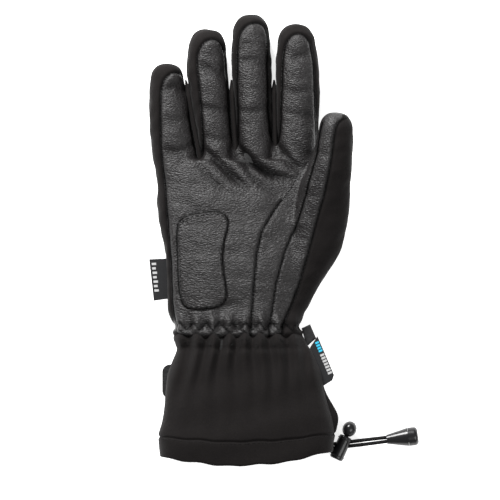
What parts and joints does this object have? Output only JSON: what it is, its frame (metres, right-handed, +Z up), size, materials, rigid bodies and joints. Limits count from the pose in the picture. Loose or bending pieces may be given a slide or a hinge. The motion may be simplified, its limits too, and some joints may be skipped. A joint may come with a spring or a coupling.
{
  "type": "ski glove",
  "caption": "Insulated right-hand ski glove with a gathered gauntlet cuff, a hem drawcord with a cord lock, a wrist strap and hinged fingers.",
  "frame": {"origin": "under the middle of the glove, on the surface it lies on", "axes": "+Z up out of the palm, +Y towards the fingertips, +X towards the thumb"},
  "size_m": [0.1772, 0.2939, 0.05],
  "materials": {
    "synthetic_leather": "semi-matte grained charcoal synthetic leather",
    "softshell": "matte black stretch softshell",
    "wadding": "lofted polyester fibre",
    "foam": "closed-cell foam sheet",
    "fleece": "brushed black fleece",
    "elastic": "woven elastic tape",
    "cord": "braided black cord",
    "black_plastic": "semi-gloss moulded acetal",
    "spring_steel": "drawn wire",
    "webbing": "ribbed woven tape",
    "hook_and_loop": "hook-and-loop tape",
    "woven_label": null
  },
  "bodies": {
    "hand": {"palm_leather": "synthetic_leather", "thumb_mound_leather": "synthetic_leather", "hand_back_shell": "softshell", "heel_patch": "synthetic_leather", "knuckle_foam": "foam", "hand_wadding": "wadding", "hand_lining": "fleece", "cuff_front_panel": "softshell", "cuff_back_panel": "softshell", "wrist_elastic": "elastic", "cuff_lining": "fleece", "hem_band": "softshell", "hem_drawcord": "cord", "cord_eyelet": "black_plastic", "cord_strand_lower": "cord", "cord_strand_upper": "cord", "cord_end_bell": "black_plastic", "cord_end_cap": "black_plastic", "strap_loop_patch": "hook_and_loop", "strap_anchor": "softshell", "side_label": "woven_label", "flag_label": "woven_label", "webbing_loop": "webbing"},
    "little_finger": {"little_front_leather": "synthetic_leather", "little_back_shell": "softshell", "little_fourchettes": "softshell", "little_wadding": "wadding", "little_lining": "fleece"},
    "ring_finger": {"ring_front_leather": "synthetic_leather", "ring_back_shell": "softshell", "ring_fourchettes": "softshell", "ring_wadding": "wadding", "ring_lining": "fleece"},
    "middle_finger": {"middle_front_leather": "synthetic_leather", "middle_back_shell": "softshell", "middle_fourchettes": "softshell", "middle_wadding": "wadding", "middle_lining": "fleece"},
    "index_finger": {"index_front_leather": "synthetic_leather", "index_back_shell": "softshell", "index_fourchettes": "softshell", "index_wadding": "wadding", "index_lining": "fleece"},
    "thumb": {"thumb_front_leather": "synthetic_leather", "thumb_inner_leather": "synthetic_leather", "thumb_back_shell": "softshell", "thumb_wadding": "wadding", "thumb_lining": "fleece"},
    "cord_lock": {"lock_barrel": "black_plastic", "lock_spring": "spring_steel"},
    "lock_push_button": {"lock_button": "black_plastic"},
    "strap": {"wrist_strap": "webbing", "strap_hook_patch": "hook_and_loop"}
  },
  "joints": [
    {"name": "little_knuckle", "type": "hinge", "parent": "hand", "child": "little_finger", "pos_m": [-0.0469, 0.046, 0.015], "axis": [0.99, 0.1409, 0], "range_deg": [-10, 80], "stiffness_Nm_per_rad": 0.12, "springref_deg": 2.86},
    {"name": "ring_knuckle", "type": "hinge", "parent": "hand", "child": "ring_finger", "pos_m": [-0.0216, 0.052, 0.015], "axis": [0.9945, 0.1045, 0], "range_deg": [-10, 80], "stiffness_Nm_per_rad": 0.12, "springref_deg": 2.86},
    {"name": "middle_knuckle", "type": "hinge", "parent": "hand", "child": "middle_finger", "pos_m": [0.0034, 0.055, 0.015], "axis": [0.9993, 0.0384, 0], "range_deg": [-10, 80], "stiffness_Nm_per_rad": 0.12, "springref_deg": 2.86},
    {"name": "index_knuckle", "type": "hinge", "parent": "hand", "child": "index_finger", "pos_m": [0.0305, 0.054, 0.015], "axis": [0.9999, 0.0157, 0], "range_deg": [-10, 80], "stiffness_Nm_per_rad": 0.12, "springref_deg": 2.86},
    {"name": "thumb_knuckle", "type": "hinge", "parent": "hand", "child": "thumb", "pos_m": [0.0534, 0.01, 0.022], "axis": [-0.9988, 0.0499, 0], "range_deg": [-35, 15], "stiffness_Nm_per_rad": 0.15},
    {"name": "lock_slide", "type": "slide", "parent": "hand", "child": "cord_lock", "axis": [0.9926, 0.1213, 0], "range_m": [0, 0.014]},
    {"name": "lock_button_push", "type": "slide", "parent": "cord_lock", "child": "lock_push_button", "axis": [-0.4198, -0.9076, 0], "range_m": [0, 0.0022], "stiffness_N_per_m": 900, "springref_m": -0.001},
    {"name": "strap_peel", "type": "hinge", "parent": "hand", "child": "strap", "pos_m": [0.0215, -0.092, 0.0003], "axis": [0, -1, 0], "range_deg": [0, 110]}
  ]
}
